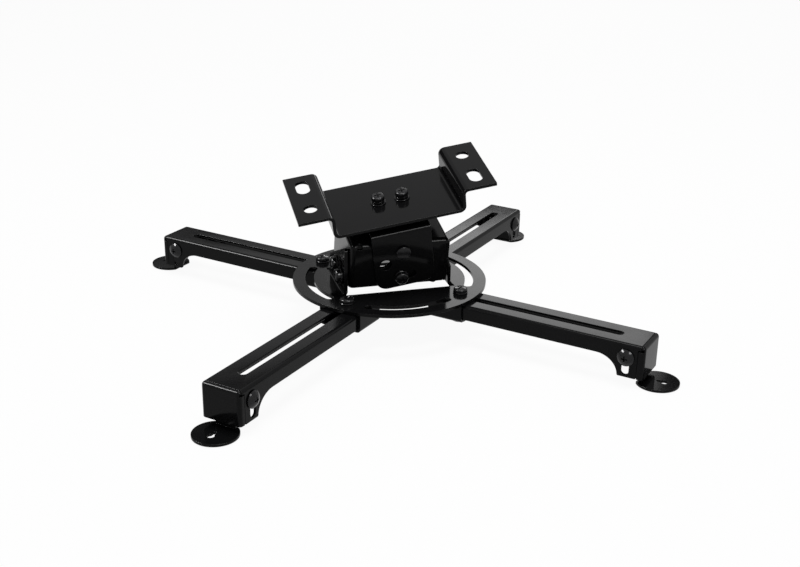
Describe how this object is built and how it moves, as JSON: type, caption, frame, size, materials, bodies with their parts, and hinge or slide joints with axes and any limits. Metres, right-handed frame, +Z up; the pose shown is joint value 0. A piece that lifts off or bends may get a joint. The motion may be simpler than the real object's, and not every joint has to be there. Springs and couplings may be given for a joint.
{
  "type": "projector ceiling mount",
  "caption": "Ceiling mount for a projector: a hat bracket on a tilt and roll head over a slotted round plate, with swivelling, sliding arms that end in height-adjustable feet.",
  "frame": {"origin": "middle of the square of feet, at the level of the undersides of the foot tabs", "axes": "+Z up from the feet to the ceiling bracket, -Y towards the front of the tilt head, +X to its right"},
  "size_m": [0.3436, 0.3436, 0.1353],
  "materials": {
    "black_coat": "satin black powder coat",
    "black_fastener": "black oxide"
  },
  "bodies": {
    "base": {"base_plate": "black_coat", "pitch_bolts": "black_fastener", "pitch_washers": "black_fastener", "pitch_spacers": "black_fastener", "pitch_nuts": "black_fastener", "clamp_screws": "black_fastener", "clamp_washers": "black_fastener", "clamp_nuts": "black_fastener"},
    "tray": {"tilt_tray": "black_coat", "lock_screws": "black_fastener", "lock_washers": "black_fastener", "lock_nuts": "black_fastener", "roll_pins": "black_fastener", "roll_pin_rings": "black_fastener", "roll_screws": "black_fastener", "roll_washers": "black_fastener", "roll_nuts": "black_fastener"},
    "ceiling": {"saddle": "black_coat", "pan_spacer": "black_coat", "ceiling_bracket": "black_coat", "pan_screws": "black_fastener", "pan_spring_washers": "black_fastener", "pan_flat_washers": "black_fastener", "pan_nuts": "black_fastener"},
    "sleeve_fr": {"sleeve_fr": "black_coat"},
    "arm_fr": {"arm_fr": "black_coat"},
    "foot_fr": {"foot_fr": "black_coat", "foot_screws_fr": "black_fastener", "foot_nuts_fr": "black_fastener"},
    "sleeve_rr": {"sleeve_rr": "black_coat"},
    "arm_rr": {"arm_rr": "black_coat"},
    "foot_rr": {"foot_rr": "black_coat", "foot_screws_rr": "black_fastener", "foot_nuts_rr": "black_fastener"},
    "sleeve_rl": {"sleeve_rl": "black_coat"},
    "arm_rl": {"arm_rl": "black_coat"},
    "foot_rl": {"foot_rl": "black_coat", "foot_screws_rl": "black_fastener", "foot_nuts_rl": "black_fastener"},
    "sleeve_fl": {"sleeve_fl": "black_coat"},
    "arm_fl": {"arm_fl": "black_coat"},
    "foot_fl": {"foot_fl": "black_coat", "foot_screws_fl": "black_fastener", "foot_nuts_fl": "black_fastener"}
  },
  "joints": [
    {"name": "pitch", "type": "hinge", "parent": "base", "child": "tray", "pos_m": [0, 0, 0.0496], "axis": [1, 0, 0], "range_deg": [-27.5, 2.5]},
    {"name": "roll", "type": "hinge", "parent": "tray", "child": "ceiling", "pos_m": [0.0012, -0.0053, 0.07352], "axis": [0, 0.9763, 0.2164], "range_deg": [-3, 21]},
    {"name": "swivel_fr", "type": "hinge", "parent": "base", "child": "sleeve_fr", "pos_m": [0.04384, -0.04384, 0.0196], "axis": [0, 0, 1], "range_deg": [-15, 15]},
    {"name": "extend_fr", "type": "slide", "parent": "sleeve_fr", "child": "arm_fr", "axis": [0.7071, -0.7071, 0], "range_m": [-0.016, 0.001]},
    {"name": "lower_fr", "type": "slide", "parent": "arm_fr", "child": "foot_fr", "axis": [0, 0, -1], "range_m": [0, 0.01]},
    {"name": "swivel_rr", "type": "hinge", "parent": "base", "child": "sleeve_rr", "pos_m": [0.04384, 0.04384, 0.0196], "axis": [0, 0, 1], "range_deg": [-15, 15]},
    {"name": "extend_rr", "type": "slide", "parent": "sleeve_rr", "child": "arm_rr", "axis": [0.7071, 0.7071, 0], "range_m": [-0.016, 0.001]},
    {"name": "lower_rr", "type": "slide", "parent": "arm_rr", "child": "foot_rr", "axis": [0, 0, -1], "range_m": [0, 0.01]},
    {"name": "swivel_rl", "type": "hinge", "parent": "base", "child": "sleeve_rl", "pos_m": [-0.04384, 0.04384, 0.0196], "axis": [0, 0, 1], "range_deg": [-15, 15]},
    {"name": "extend_rl", "type": "slide", "parent": "sleeve_rl", "child": "arm_rl", "axis": [-0.7071, 0.7071, 0], "range_m": [-0.016, 0.001]},
    {"name": "lower_rl", "type": "slide", "parent": "arm_rl", "child": "foot_rl", "axis": [0, 0, -1], "range_m": [0, 0.01]},
    {"name": "swivel_fl", "type": "hinge", "parent": "base", "child": "sleeve_fl", "pos_m": [-0.04384, -0.04384, 0.0196], "axis": [0, 0, 1], "range_deg": [-15, 15]},
    {"name": "extend_fl", "type": "slide", "parent": "sleeve_fl", "child": "arm_fl", "axis": [-0.7071, -0.7071, 0], "range_m": [-0.016, 0.001]},
    {"name": "lower_fl", "type": "slide", "parent": "arm_fl", "child": "foot_fl", "axis": [0, 0, -1], "range_m": [0, 0.01]}
  ]
}
